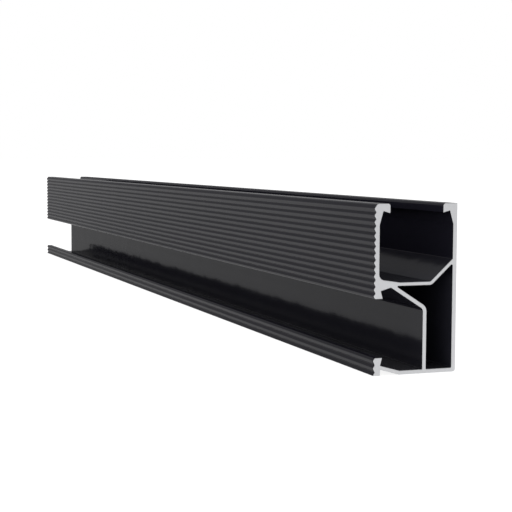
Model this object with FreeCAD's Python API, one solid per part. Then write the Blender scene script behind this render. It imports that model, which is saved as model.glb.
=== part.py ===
import FreeCAD, Part
import math
import os

# Solar mounting rail, in millimetres: one extruded aluminium bar with square saw-cut ends.
# It has a bolt channel open at the top, a second one open in the ribbed front face, and a
# hollow chamber along the back that takes a splice.
# The bar lies along X on its flat bottom. -Y is the ribbed front, +Y the flat back, +Z up.
# The origin is at mid-length and mid-depth, on the bottom face.
# The section is drawn by depth, from the crests of the front ribs back, and by height.

# Overall size
rail_length = 620.0
rail_height = 62.15
rail_depth = 33.27

# Walls
thin_wall = 1.44  # upright web, both sloped walls of the side channel and the bottom
floor_wall = 1.22  # top channel's floor and the sloped wall behind it
front_wall = 1.43  # behind the grooves of the ribbed face
back_wall = 1.58
chamber_width = 10.49  # clear width between the upright web and the back wall

# Ribbed front face
groove_pitch = 2.39  # fitted to a whole number of grooves
groove_depth = 0.6
groove_floor = 0.1
rib_land = 0.28
lower_flank_share = 0.56  # what a rib's underside takes of the height between land and floor
lip_chamfer_depth = 0.6  # front edges of the side channel's two lips
lip_chamfer_height = 0.87
crown_chamfer_depth = 1.15  # top front edge
crown_chamfer_height = 1.58

# All four lips lean by this much from upright, and the faces behind them stay square to them
lip_lean = 16.0

# Top channel
top_lip_reach = 4.16  # from the wall's inner face to the lip's nose
top_nose_height = 3.45
top_taper_height = 7.6  # the walls thicken over this height below the top face
floor_rise = 1.27  # the channel floor climbs by this much towards the front wall
floor_rise_run = 8.3
rear_brace_run = 9.04  # sloped wall from the channel floor up to the back wall
rear_brace_rise = 8.2

# Side channel
front_lip_height = 6.5  # top of the lower lip
front_lip_root = 2.72  # thickness of both lips where they join the bar
side_mouth = 21.38  # clear height between the lips
knot_height = 5.73  # from the upper lip's edge to the floor of the top channel
ramp_run = 7.74  # sloped wall from the lower lip down to the flat bottom
roof_run = 4.06  # from the pocket behind the upper lip to the peak of the roof
front_brace_slope = 32.5  # degrees, from the peak down to the upright web

# Rounded corners
edge_round = 0.2
pocket_round = 0.3
corner_round = 0.4
chamber_round = 0.5
rib_round = 0.65
bend_round = 0.9  # inside of a bent wall; the outside is one wall larger, as it is at the web
nose_round = 0.95
base_round = 1.0
crown_round = 1.2
peak_round = 1.2
web_bend_round = 1.7  # upright web into the sloped wall above it
channel_round = 2.3

node_name = "rail"


def through(depth, height, slope):
    """An endless line through a point, at a slope in degrees from level."""
    return depth, height, math.radians(slope)


def level(height):
    return through(0.0, height, 0.0)


def upright(depth):
    return through(depth, 0.0, 90.0)


def beside(line, distance):
    """The parallel line at a distance to the left of one, looking along it."""
    depth, height, angle = line
    return depth - distance * math.sin(angle), height + distance * math.cos(angle), angle


def crossing(first, second):
    """The point where two lines cross."""
    depth_1, height_1, angle_1 = first
    depth_2, height_2, angle_2 = second
    gap = (depth_2 - depth_1) * math.sin(angle_2) - (height_2 - height_1) * math.cos(angle_2)
    along = gap / math.sin(angle_2 - angle_1)
    return depth_1 + along * math.cos(angle_1), height_1 + along * math.sin(angle_1)


# Faces that more than one part of the section meets
front_inner = groove_depth + front_wall
back_inner = rail_depth - back_wall
web_back = back_inner - chamber_width
web_front = web_back - thin_wall
bottom_inner = thin_wall
upper_lip_edge = front_lip_height + side_mouth
floor_top = upper_lip_edge + knot_height
floor_bottom = floor_top - floor_wall

# Walls at a slope: each pair is one wall's two faces
lower_pocket = bottom_inner + ramp_run * math.tan(math.radians(lip_lean))
upper_pocket = upper_lip_edge + (front_lip_height - lower_pocket)
ramp_upper = through(front_lip_root, lower_pocket, -lip_lean)
ramp_lower = beside(ramp_upper, -thin_wall)
roof = through(front_lip_root, upper_pocket, lip_lean)
peak = crossing(roof, upright(front_lip_root + roof_run))
front_brace_lower = through(*peak, -front_brace_slope)
front_brace_upper = beside(front_brace_lower, thin_wall)
rear_brace_slope = math.degrees(math.atan2(rear_brace_rise, rear_brace_run))
rear_brace_upper = through(back_inner - rear_brace_run, floor_top, rear_brace_slope)
rear_brace_lower = beside(rear_brace_upper, -floor_wall)


def ribs(top, bottom):
    """Corners down a ribbed face, with a whole number of grooves between its first and last rib."""
    span = top - bottom - rib_land
    count = max(1, round(span / groove_pitch))
    pitch = span / count
    lower_flank = (pitch - rib_land - groove_floor) * lower_flank_share
    corners = []
    for number in range(count):
        rib_edge = top - rib_land - number * pitch
        corners.append(((0.0, rib_edge), rib_round))
        corners.append(((groove_depth, rib_edge - lower_flank), rib_round))
        corners.append(((groove_depth, rib_edge - lower_flank - groove_floor), rib_round))
        corners.append(((0.0, rib_edge - pitch + rib_land), rib_round))
    return corners


def top_lip(inner_face, side):
    """Corners of a top lip from its nose down to the channel wall. side is 1 for a lip that
    points back and -1 for one that points to the front."""
    nose = inner_face + side * top_lip_reach
    nose_bottom = rail_height - top_nose_height
    taper_foot = rail_height - top_taper_height
    underside = through(nose, nose_bottom, -side * lip_lean)
    taper = through(inner_face, taper_foot, 90.0 - side * lip_lean)
    return [
        ((nose, rail_height), nose_round),
        ((nose, nose_bottom), edge_round),
        (crossing(underside, taper), pocket_round),
        ((inner_face, taper_foot), channel_round),
    ]


def lower_front_lip():
    """Corners from the flat bottom forward, round the lower lip and down its sloped wall."""
    side = through(front_lip_root, lower_pocket, 90.0 - lip_lean)
    chamfer_foot = front_lip_height - lip_chamfer_height
    return [
        ((web_front, bottom_inner), pocket_round),
        (crossing(ramp_upper, level(bottom_inner)), corner_round),
        ((front_lip_root, lower_pocket), pocket_round),
        (crossing(side, level(front_lip_height)), edge_round),
        ((lip_chamfer_depth, front_lip_height), edge_round),
        ((0.0, chamfer_foot), rib_round),
        *ribs(chamfer_foot, 0.0),
        ((0.0, 0.0), edge_round),
        ((front_lip_root, 0.0), edge_round),
        (crossing(ramp_lower, upright(front_lip_root)), pocket_round),
        (crossing(ramp_lower, level(0.0)), corner_round),
    ]


def side_channel_roof():
    """Corners from the upper lip's front edge back under the roof and down the upright web."""
    side = through(front_lip_root, upper_pocket, 90.0 + lip_lean)
    return [
        ((lip_chamfer_depth, upper_lip_edge), edge_round),
        (crossing(side, level(upper_lip_edge)), edge_round),
        ((front_lip_root, upper_pocket), pocket_round),
        (peak, peak_round),
        (crossing(front_brace_lower, upright(web_front)), web_bend_round),
    ]


def outer_outline():
    """The section's outline, from the bottom back edge forward through both channels."""
    crown_foot = rail_height - crown_chamfer_height
    lip_foot = upper_lip_edge + lip_chamfer_height
    return [
        ((rail_depth, rail_height), edge_round),
        *top_lip(back_inner, -1),
        (crossing(rear_brace_upper, upright(back_inner)), corner_round),
        ((back_inner - rear_brace_run, floor_top), bend_round),
        ((front_inner + floor_rise_run, floor_top), bend_round),
        ((front_inner, floor_top + floor_rise), channel_round),
        *reversed(top_lip(front_inner, 1)),
        ((crown_chamfer_depth, rail_height), crown_round),
        ((0.0, crown_foot), rib_round),
        *ribs(crown_foot, lip_foot),
        ((0.0, lip_foot), rib_round),
        *side_channel_roof(),
        *lower_front_lip(),
        ((rail_depth, 0.0), base_round),
    ]


def chamber_outline():
    """The hollow chamber between the upright web, the bottom, the back wall and both braces."""
    return [
        ((web_back, bottom_inner), pocket_round),
        ((back_inner, bottom_inner), chamber_round),
        (crossing(rear_brace_lower, upright(back_inner)), corner_round),
        (crossing(rear_brace_lower, level(floor_bottom)), bend_round + floor_wall),
        (crossing(front_brace_upper, level(floor_bottom)), pocket_round),
        (crossing(front_brace_upper, upright(web_back)), web_bend_round + thin_wall),
    ]


def in_space(point):
    """A point of the section, on the bar's first end."""
    depth, height = point
    return FreeCAD.Vector(-rail_length / 2, depth - rail_depth / 2, height)


def rounded_corner(before, here, after, radius):
    """Start, middle and end of the arc that rounds a corner. It takes less than half of the
    shorter side that meets there."""
    back = before - here
    ahead = after - here
    half_angle = back.getAngle(ahead) / 2
    room = 0.45 * min(back.Length, ahead.Length)
    reach = min(radius / math.tan(half_angle), room)
    radius = reach * math.tan(half_angle)
    back.normalize()
    ahead.normalize()
    inward = (back + ahead).normalize()
    middle = here + inward * (radius / math.sin(half_angle) - radius)
    return here + back * reach, middle, here + ahead * reach


def rounded_wire(corners):
    """A closed wire through corners, given as ((depth, height), radius), with an arc at each."""
    places = [in_space(point) for point, _ in corners]
    arcs = []
    for number, (_, radius) in enumerate(corners):
        before = places[number - 1]
        after = places[(number + 1) % len(places)]
        arcs.append(rounded_corner(before, places[number], after, radius))
    edges = []
    for number, arc in enumerate(arcs):
        edges.append(Part.LineSegment(arcs[number - 1][2], arc[0]).toShape())
        edges.append(Part.Arc(*arc).toShape())
    return Part.Wire(edges)


def make_rail():
    wires = [rounded_wire(outer_outline()), rounded_wire(chamber_outline())]
    section = Part.makeFace(wires, "Part::FaceMakerBullseye")
    return section.extrude(FreeCAD.Vector(rail_length, 0, 0))


os.makedirs("parts", exist_ok=True)
make_rail().exportStep(f"parts/{node_name}.step")
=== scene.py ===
import math
import bpy
from mathutils import Matrix, Vector, geometry


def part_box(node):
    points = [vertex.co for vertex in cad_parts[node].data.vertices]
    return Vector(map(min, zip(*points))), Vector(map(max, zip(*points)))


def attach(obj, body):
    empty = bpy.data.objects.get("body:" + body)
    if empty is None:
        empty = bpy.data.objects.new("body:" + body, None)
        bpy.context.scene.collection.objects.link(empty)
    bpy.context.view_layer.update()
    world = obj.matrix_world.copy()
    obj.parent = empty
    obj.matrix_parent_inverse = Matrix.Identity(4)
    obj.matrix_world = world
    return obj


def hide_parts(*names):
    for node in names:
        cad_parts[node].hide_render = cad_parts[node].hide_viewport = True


# A black anodised mounting rail with bare saw-cut ends, on a white floor in soft light.
# Lengths are in metres. The rail lies along X, with its ribbed front towards -Y.

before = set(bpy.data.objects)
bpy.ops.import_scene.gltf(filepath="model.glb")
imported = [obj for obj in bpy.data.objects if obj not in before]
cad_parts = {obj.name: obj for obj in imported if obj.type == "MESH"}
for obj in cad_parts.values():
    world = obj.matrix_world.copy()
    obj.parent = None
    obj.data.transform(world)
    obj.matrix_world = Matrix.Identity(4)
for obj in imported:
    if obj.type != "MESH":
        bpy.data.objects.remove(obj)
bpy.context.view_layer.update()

MM = 0.001
WHITE = (1.0, 1.0, 1.0, 1.0)

# The rail
END_BREAK = 0.12 * MM  # the saw-cut edges are broken by this much
SMOOTH_TURN = math.radians(25)  # faces that turn by less belong to one rounded corner
SAME_POINT = 0.01 * MM
LONG_FACES = 0  # the mesh's two materials
CUT_ENDS = 1

# The camera: where it stands, which way it looks and how long its lens is
CAMERA_PLACE = Vector((0.72308, -0.21241, 0.0785))
CAMERA_AZIMUTH = math.radians(69.9622)
CAMERA_ELEVATION = math.radians(4.4235)
CAMERA_ROLL = math.radians(0.2345)
CAMERA_SIGHT = (0.01, 200.0)  # nearest and farthest that it sees
LENS = 89.73
SENSOR = 36.0

# The studio
FLOOR_SIZE = 60.0
FLOOR_GAP = 0.05 * MM
FLOOR_COLOUR = 0.80  # for the light that it throws back on the rail
FLOOR_GLOW = 0.90  # where it is seen or mirrored
FLOOR_SHADED = 0.30  # the part of its look that the rail's shadow darkens, on top of the glow
WORLD_LIGHT = 0.85
MIRRORED_FADE_TO = 0.25  # the sine of the height in the sky where mirrored white has faded
MIRRORED_OVERHEAD = 0.47

# Where each zone of the black anodising, with its painted light, shade or highlight, begins and where
# it is full, as depths along Y and heights along Z
BEHIND_FRONT_DEPTHS = (-15.4 * MM, -12.0 * MM)
BEFORE_BACK_DEPTHS = (16.5 * MM, 16.2 * MM)
CHAMBER_DEPTHS = (3.6 * MM, 4.2 * MM)
TOP_CHANNEL_HEIGHTS = (34.5 * MM, 36.5 * MM)
RAMP_HEIGHTS = (5.5 * MM, 4.5 * MM)
# the crown's and the lip's edges, where a stronger coat paints a highlight
HIGHLIGHT_CROWN_HEIGHTS = (61.5 * MM, 62.0 * MM)
HIGHLIGHT_LIP_HEIGHTS = (28.3 * MM, 28.0 * MM)  # the edge over the side channel's mouth
ABOVE_LOWER_LIP = (7.0 * MM, 8.0 * MM)
# over this upward tilt, sheltered faces get painted light from above
UPWARD_LIGHT_TILTS = (0.6, 1.0)  # the upward part of a face's normal

# Black anodising, each colour from its darkest to its lightest. The sheltered faces between the ribbed
# front and the flat back are lighter than the front and back, as painted light, and mirror more weakly,
# as painted shade in their gloss. The front's outermost edges mirror more strongly, as a painted
# highlight.
OUTSIDE_COLOUR = ((0.0042, 0.0034, 0.0088), (0.0048, 0.0040, 0.0096))
# the sheltered colours below are lighter than the outside one, as painted light
SIDE_CHANNEL_COLOUR = ((0.0152, 0.0149, 0.0200), (0.0167, 0.0164, 0.0215))
CHAMBER_COLOUR = ((0.0260, 0.0260, 0.0360), (0.0285, 0.0285, 0.0390))
TOP_CHANNEL_COLOUR = ((0.0135, 0.0130, 0.0200), (0.0147, 0.0142, 0.0215))
# painted light from above: sheltered faces that look up are lighter
UPWARD_LIGHT_COLOUR = ((0.0240, 0.0240, 0.0290), (0.0290, 0.0290, 0.0345))  # sheltered, looking up
OUTSIDE_COAT = 0.228
# a painted highlight: the front's outermost edges mirror more strongly
HIGHLIGHT_COAT = 0.46
# weaker coats in the channels, as painted shade in their gloss
SIDE_CHANNEL_COAT = 0.146
TOP_CHANNEL_COAT = 0.185
# a painted reflection: the ramp mirrors far more strongly than the faces round it
RAMP_REFLECTION_COAT = 0.55  # the sloping bottom of the side channel
COAT_STREAKS = (0.90, 1.10)
COAT_IOR = 2.2
COAT_ROUGHNESS = 0.125
SKIN_ROUGHNESS = (0.15, 0.21)

# Noise, as its scale along each axis and the height of any relief that it makes
LINE_SCALES = (4.0, 900.0, 900.0)  # lines along the extrusion
LINE_DETAIL = 3.0
LINE_HEIGHT = 0.004 * MM
WAVE_SCALES = (60.0, 60.0, 60.0)  # faces that aren't quite flat
WAVE_HEIGHT = 0.25 * MM
CLOUD_SCALES = (9.0, 60.0, 60.0)  # slow changes of colour
GRAIN_SCALES = (700.0, 700.0, 700.0)  # grain of the cut ends
GRAIN_DETAIL = 3.0
GRAIN_HEIGHT = 0.001 * MM

# Saw-cut aluminium, with the arcs that a large blade leaves round its centre
CUT_COLOUR = ((0.600, 0.605, 0.621), (0.720, 0.723, 0.737))
CUT_ROUGHNESS = (0.42, 0.56)
BLADE_CENTRE = (0.0, -120 * MM, 150 * MM)
SAW_MARK_PERIOD = 0.45 * MM
SAW_MARK_HEIGHT = 0.002 * MM
SAW_MARK_WANDER = 3.0
SAW_MARK_WANDER_SCALE = 0.1
WAVE_TEXTURE_PHASE = 20.0  # radians that a wave texture turns through in a metre, at scale 1


def new_object(name, data):
    """An object in the scene with this data."""
    made = bpy.data.objects.new(name, data)
    bpy.context.scene.collection.objects.link(made)
    return made


def end_loops(node):
    """The section's outlines as lists of (y, z) points, read from the CAD mesh's +X end. Each
    runs with the metal on its left. The outer one has the most points and comes first."""
    mesh = node.data
    end_x = max(vertex.co.x for vertex in mesh.vertices)
    place_of = {}
    following = {}
    for face in mesh.polygons:
        corners = [mesh.vertices[index].co for index in face.vertices]
        if min(corner.x for corner in corners) < end_x - SAME_POINT:
            continue
        keys = [(round(corner.y / SAME_POINT), round(corner.z / SAME_POINT)) for corner in corners]
        for key, corner in zip(keys, corners):
            place_of[key] = (corner.y, corner.z)
        for start, end in zip(keys, keys[1:] + keys[:1]):
            following.setdefault(start, set()).add(end)
    # An edge that no neighbour runs back along is on an outline
    step = {}
    for start, ends in following.items():
        for end in ends:
            if start not in following.get(end, ()):
                step[start] = end
    loops = []
    while step:
        key = next(iter(step))
        loop = []
        while key in step:
            loop.append(place_of[key])
            key = step.pop(key)
        loops.append(loop)
    return sorted(loops, key=len, reverse=True)


def inset(loop, distance):
    """The loop moved into the metal by a distance."""
    moved = []
    count = len(loop)
    for number, point in enumerate(loop):
        here = Vector(point)
        ahead = (Vector(loop[(number + 1) % count]) - here).normalized()
        behind = (here - Vector(loop[number - 1])).normalized()
        left_ahead = Vector((-ahead.y, ahead.x))
        left_behind = Vector((-behind.y, behind.x))
        middle = (left_ahead + left_behind).normalized()
        moved.append(here + middle * (distance / middle.dot(left_ahead)))
    return moved


def band(loops, here, there):
    """Faces between two rings of points, each given by the number of its first point."""
    faces = []
    first = 0
    for loop in loops:
        count = len(loop)
        for index in range(count):
            a = first + index
            b = first + (index + 1) % count
            faces.append((here + a, here + b, there + b, there + a))
        first += count
    return faces


def end_faces(loops, low_ring, high_ring):
    """Triangles that close both ends, whose rings are given by their first points' numbers."""
    flat = [[Vector((y, z, 0.0)) for y, z in inset(loop, END_BREAK)] for loop in loops]
    places = [place for loop in flat for place in loop]
    faces = []
    for triangle in geometry.tessellate_polygon(flat):
        a, b, c = (places[index] for index in triangle)
        turns_left = (b - a).cross(c - a).z > 0
        out = triangle if turns_left else triangle[::-1]
        faces.append(tuple(high_ring + index for index in out))
        faces.append(tuple(low_ring + index for index in out[::-1]))
    return faces


def rail_mesh(loops, low_x, high_x):
    """The bar between two ends. Their broken edges are bare metal, as the ends are."""
    rings = [
        (low_x, END_BREAK),
        (low_x + END_BREAK, 0.0),
        (high_x - END_BREAK, 0.0),
        (high_x, END_BREAK),
    ]
    points = []
    starts = []  # the number of each ring's first point
    for x, distance in rings:
        starts.append(len(points))
        for loop in loops:
            points.extend((x, y, z) for y, z in inset(loop, distance))
    long_faces = band(loops, starts[1], starts[2])
    cut_faces = band(loops, starts[0], starts[1])
    cut_faces += band(loops, starts[2], starts[3])
    cut_faces += end_faces(loops, starts[0], starts[3])
    faces = long_faces + cut_faces
    slots = [LONG_FACES] * len(long_faces) + [CUT_ENDS] * len(cut_faces)
    mesh = bpy.data.meshes.new("rail_body")
    mesh.from_pydata(points, [], faces)
    mesh.polygons.foreach_set("material_index", slots)
    mesh.polygons.foreach_set("use_smooth", [True] * len(faces))
    mesh.set_sharp_from_angle(angle=SMOOTH_TURN)
    mesh.update()
    return mesh


def combined(tree, operation, first, second):
    """Two values put together by a sum, a product, the larger of both and so on."""
    node = tree.nodes.new("ShaderNodeMath")
    node.operation = operation
    tree.links.new(first, node.inputs[0])
    tree.links.new(second, node.inputs[1])
    return node.outputs["Value"]


class Nodes:
    """Short calls for building the node tree of a material that a piece carries."""

    def __init__(self, name):
        self.material = bpy.data.materials.new(name)
        self.material.use_nodes = True
        self.tree = self.material.node_tree
        self.shader = self.tree.nodes["Principled BSDF"]
        self.coordinates = self.add("ShaderNodeTexCoord")

    def add(self, kind, **settings):
        node = self.tree.nodes.new(kind)
        for name, value in settings.items():
            setattr(node, name, value)
        return node

    def join(self, output, socket):
        self.tree.links.new(output, socket)

    def along(self, output):
        """The X, Y and Z parts of the piece's own place or normal at a point."""
        separate = self.add("ShaderNodeSeparateXYZ")
        self.join(self.coordinates.outputs[output], separate.inputs["Vector"])
        return separate.outputs

    def mapped(self, setting, values):
        """The piece's own coordinates with a Scale or a Location."""
        mapping = self.add("ShaderNodeMapping")
        mapping.inputs[setting].default_value = values
        self.join(self.coordinates.outputs["Object"], mapping.inputs["Vector"])
        return mapping.outputs["Vector"]

    def noise(self, scales, detail=2.0):
        noise = self.add("ShaderNodeTexNoise")
        noise.inputs["Scale"].default_value = 1.0
        noise.inputs["Detail"].default_value = detail
        self.join(self.mapped("Scale", scales), noise.inputs["Vector"])
        return noise.outputs["Fac"]

    def arcs(self, centre, period):
        """Rings about a centre, seen along X, as a value from 0 to 1."""
        wave = self.add("ShaderNodeTexWave", wave_type="RINGS", rings_direction="X")
        wave.inputs["Scale"].default_value = 2 * math.pi / (WAVE_TEXTURE_PHASE * period)
        wave.inputs["Distortion"].default_value = SAW_MARK_WANDER
        wave.inputs["Detail Scale"].default_value = SAW_MARK_WANDER_SCALE
        to_centre = self.mapped("Location", [-value for value in centre])
        self.join(to_centre, wave.inputs["Vector"])
        return wave.outputs["Fac"]

    def spread(self, value, low, high, start=0.0, end=1.0):
        """A value from start to end laid over low to high, and held there past either."""
        reach = self.add("ShaderNodeMapRange")
        reach.inputs["From Min"].default_value = start
        reach.inputs["From Max"].default_value = end
        reach.inputs["To Min"].default_value = low
        reach.inputs["To Max"].default_value = high
        self.join(value, reach.inputs["Value"])
        return reach.outputs["Result"]

    def share(self, value, limits):
        """0 where a value is at the first limit, 1 where it is at the second."""
        start, end = limits
        return self.spread(value, 0.0, 1.0, start, end)

    def opposite(self, share):
        return self.spread(share, 1.0, 0.0)

    def product(self, first, second):
        return combined(self.tree, "MULTIPLY", first, second)

    def larger(self, first, second):
        return combined(self.tree, "MAXIMUM", first, second)

    def average(self, first, second):
        return self.share(combined(self.tree, "ADD", first, second), (0.0, 2.0))

    def between(self, share, first, second):
        """A number that goes from one to another as a share goes from 0 to 1."""
        reach = self.add("ShaderNodeMapRange")
        self.join(share, reach.inputs["Value"])
        self.join(first, reach.inputs["To Min"])
        self.join(second, reach.inputs["To Max"])
        return reach.outputs["Result"]

    def tint(self, share, colours):
        """A colour between a dark and a light one."""
        dark, light = colours
        ramp = self.add("ShaderNodeValToRGB")
        ramp.color_ramp.elements[0].color = (*dark, 1.0)
        ramp.color_ramp.elements[1].color = (*light, 1.0)
        self.join(share, ramp.inputs["Fac"])
        return ramp.outputs["Color"]

    def blended(self, share, first, second):
        """A colour that goes from one to another as a share goes from 0 to 1."""
        mix = self.add("ShaderNodeMix", data_type="RGBA")
        self.join(share, mix.inputs["Factor"])
        self.join(first, mix.inputs["A"])
        self.join(second, mix.inputs["B"])
        return mix.outputs["Result"]

    def bump(self, height, distance, under=None):
        """The normal over a height of 0 to 1 that stands for a distance, on top of another."""
        bump = self.add("ShaderNodeBump")
        bump.inputs["Distance"].default_value = distance
        self.join(height, bump.inputs["Height"])
        if under is not None:
            self.join(under, bump.inputs["Normal"])
        return bump.outputs["Normal"]


def anodised_shares(nodes):
    """How much each zone of the anodising, with its painted light, shade or highlight, counts at a
    point, from 0 to 1.
    """
    place = nodes.along("Object")
    depth = place["Y"]
    height = place["Z"]
    upward = nodes.along("Normal")["Z"]
    behind_front = nodes.share(depth, BEHIND_FRONT_DEPTHS)
    sheltered = nodes.product(behind_front, nodes.share(depth, BEFORE_BACK_DEPTHS))
    crown = nodes.share(height, HIGHLIGHT_CROWN_HEIGHTS)
    below_lip = nodes.share(height, HIGHLIGHT_LIP_HEIGHTS)
    upper_lip = nodes.product(below_lip, nodes.share(height, ABOVE_LOWER_LIP))
    # painted light from above on sheltered faces that look up
    upward_light = nodes.product(sheltered, nodes.share(upward, UPWARD_LIGHT_TILTS))
    return {
        "sheltered": sheltered,
        # a painted highlight along the front's crown and lip edges
        "edge_highlight": nodes.product(nodes.larger(crown, upper_lip), nodes.opposite(behind_front)),
        "chamber": nodes.share(depth, CHAMBER_DEPTHS),
        "top channel": nodes.share(height, TOP_CHANNEL_HEIGHTS),
        "upward_light": upward_light,
        "ramp": nodes.product(nodes.share(height, RAMP_HEIGHTS), upward_light),
    }


def anodised_colour(nodes, shares):
    # Sheltered faces are lighter than the outside, as painted light, and those that look up are lighter
    # again, as painted light from above
    cloud = nodes.noise(CLOUD_SCALES)
    outside = nodes.tint(cloud, OUTSIDE_COLOUR)
    side_channel = nodes.tint(cloud, SIDE_CHANNEL_COLOUR)
    chamber = nodes.tint(cloud, CHAMBER_COLOUR)
    top_channel = nodes.tint(cloud, TOP_CHANNEL_COLOUR)
    upward_light_colour = nodes.tint(cloud, UPWARD_LIGHT_COLOUR)
    low = nodes.blended(shares["chamber"], side_channel, chamber)
    inside = nodes.blended(shares["top channel"], low, top_channel)
    before_upward_light = nodes.blended(shares["sheltered"], outside, inside)
    return nodes.blended(shares["upward_light"], before_upward_light, upward_light_colour)


def anodised_coat(nodes, shares, lines):
    """How strongly the anodising mirrors, with a painted highlight on the front's outer edges, painted
    shade in the channels' gloss and a painted reflection on the ramp.
    """
    outside = nodes.spread(shares["edge_highlight"], OUTSIDE_COAT, HIGHLIGHT_COAT)
    channels = nodes.spread(shares["top channel"], SIDE_CHANNEL_COAT, TOP_CHANNEL_COAT)
    sheltered = nodes.larger(channels, nodes.spread(shares["ramp"], 0.0, RAMP_REFLECTION_COAT))
    coat = nodes.between(shares["sheltered"], outside, sheltered)
    return nodes.product(coat, nodes.spread(lines, *COAT_STREAKS))


def black_anodised():
    """Satin black with fine lines along the extrusion, and painted light, shade and highlights in its
    zones.
    """
    nodes = Nodes("black_anodised")
    shader = nodes.shader.inputs
    shares = anodised_shares(nodes)
    lines = nodes.noise(LINE_SCALES, LINE_DETAIL)
    waves = nodes.noise(WAVE_SCALES)
    normal = nodes.bump(lines, LINE_HEIGHT, nodes.bump(waves, WAVE_HEIGHT))
    nodes.join(anodised_colour(nodes, shares), shader["Base Color"])
    nodes.join(nodes.spread(lines, *SKIN_ROUGHNESS), shader["Roughness"])
    nodes.join(anodised_coat(nodes, shares, lines), shader["Coat Weight"])
    nodes.join(normal, shader["Normal"])
    nodes.join(normal, shader["Coat Normal"])
    shader["Metallic"].default_value = 0.0
    shader["Specular IOR Level"].default_value = 0.0
    shader["Coat Roughness"].default_value = COAT_ROUGHNESS
    shader["Coat IOR"].default_value = COAT_IOR
    return nodes.material


def saw_cut():
    """Bare aluminium with a fine grain and saw marks."""
    nodes = Nodes("saw_cut")
    shader = nodes.shader.inputs
    grain = nodes.noise(GRAIN_SCALES, GRAIN_DETAIL)
    arcs = nodes.arcs(BLADE_CENTRE, SAW_MARK_PERIOD)
    marks = nodes.average(arcs, grain)
    normal = nodes.bump(arcs, SAW_MARK_HEIGHT, nodes.bump(grain, GRAIN_HEIGHT))
    nodes.join(nodes.tint(marks, CUT_COLOUR), shader["Base Color"])
    nodes.join(nodes.spread(marks, *CUT_ROUGHNESS), shader["Roughness"])
    nodes.join(normal, shader["Normal"])
    shader["Metallic"].default_value = 1.0
    return nodes.material


def make_rail():
    """The rail with its finish, on the outline of the CAD rail."""
    low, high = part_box("rail")
    loops = end_loops(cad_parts["rail"])
    rail = new_object("rail_body", rail_mesh(loops, low[0], high[0]))
    rail.data.materials.append(black_anodised())
    rail.data.materials.append(saw_cut())
    normals = rail.modifiers.new("even_normals", "WEIGHTED_NORMAL")
    normals.keep_sharp = True
    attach(rail, "root")
    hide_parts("rail")


def mirrored(tree, path):
    """1 for what is seen in a gloss or through something, and 0 for the rest."""
    return combined(tree, "MAXIMUM", path.outputs["Is Glossy Ray"], path.outputs["Is Transmission Ray"])


def diffuse(tree, brightness):
    node = tree.nodes.new("ShaderNodeBsdfDiffuse")
    node.inputs["Color"].default_value = (brightness, brightness, brightness, 1.0)
    return node.outputs["BSDF"]


def white_floor():
    """White to the horizon where it is seen or mirrored, and plain pale paint for the light."""
    material = bpy.data.materials.new("white_floor")
    material.use_nodes = True
    tree = material.node_tree
    tree.nodes.clear()
    glow = tree.nodes.new("ShaderNodeEmission")
    glow.inputs["Strength"].default_value = FLOOR_GLOW
    white = tree.nodes.new("ShaderNodeAddShader")
    tree.links.new(diffuse(tree, FLOOR_SHADED), white.inputs[0])
    tree.links.new(glow.outputs["Emission"], white.inputs[1])
    path = tree.nodes.new("ShaderNodeLightPath")
    seen = combined(tree, "MAXIMUM", path.outputs["Is Camera Ray"], mirrored(tree, path))
    choose = tree.nodes.new("ShaderNodeMixShader")
    tree.links.new(seen, choose.inputs["Fac"])
    tree.links.new(diffuse(tree, FLOOR_COLOUR), choose.inputs[1])
    tree.links.new(white.outputs["Shader"], choose.inputs[2])
    output = tree.nodes.new("ShaderNodeOutputMaterial")
    tree.links.new(choose.outputs["Shader"], output.inputs["Surface"])
    return material


def make_floor():
    half = FLOOR_SIZE / 2
    corners = [(-half, -half), (half, -half), (half, half), (-half, half)]
    mesh = bpy.data.meshes.new("floor")
    mesh.from_pydata([(x, y, -FLOOR_GAP) for x, y in corners], [], [(0, 1, 2, 3)])
    mesh.materials.append(white_floor())
    floor = new_object("floor", mesh)


def make_world():
    """Even white light. The background is white, and its mirrored image fades overhead."""
    world = bpy.data.worlds.new("studio")
    bpy.context.scene.world = world
    world.use_nodes = True
    tree = world.node_tree
    direction = tree.nodes.new("ShaderNodeTexCoord")
    height = tree.nodes.new("ShaderNodeSeparateXYZ")
    tree.links.new(direction.outputs["Generated"], height.inputs["Vector"])
    fade = tree.nodes.new("ShaderNodeMapRange")
    fade.interpolation_type = "SMOOTHSTEP"
    fade.inputs["From Max"].default_value = MIRRORED_FADE_TO
    fade.inputs["To Min"].default_value = 1.0
    fade.inputs["To Max"].default_value = MIRRORED_OVERHEAD
    tree.links.new(height.outputs["Z"], fade.inputs["Value"])
    path = tree.nodes.new("ShaderNodeLightPath")
    light = tree.nodes.new("ShaderNodeMapRange")
    light.inputs["To Min"].default_value = WORLD_LIGHT
    tree.links.new(mirrored(tree, path), light.inputs["Value"])
    tree.links.new(fade.outputs["Result"], light.inputs["To Max"])
    strength = combined(tree, "MAXIMUM", light.outputs["Result"], path.outputs["Is Camera Ray"])
    background = tree.nodes["Background"]
    background.inputs["Color"].default_value = WHITE
    tree.links.new(strength, background.inputs["Strength"])


def make_camera():
    data = bpy.data.cameras.new("camera")
    data.lens = LENS
    data.sensor_width = SENSOR
    data.clip_start, data.clip_end = CAMERA_SIGHT
    camera = new_object("camera", data)
    turn = Matrix.Rotation(CAMERA_AZIMUTH, 4, "Z")
    tilt = Matrix.Rotation(math.pi / 2 - CAMERA_ELEVATION, 4, "X")
    roll = Matrix.Rotation(CAMERA_ROLL, 4, "Z")
    camera.matrix_world = Matrix.Translation(CAMERA_PLACE) @ turn @ tilt @ roll
    bpy.context.scene.camera = camera


make_rail()
make_floor()
make_world()
make_camera()
bpy.context.scene.view_settings.view_transform = "Standard"
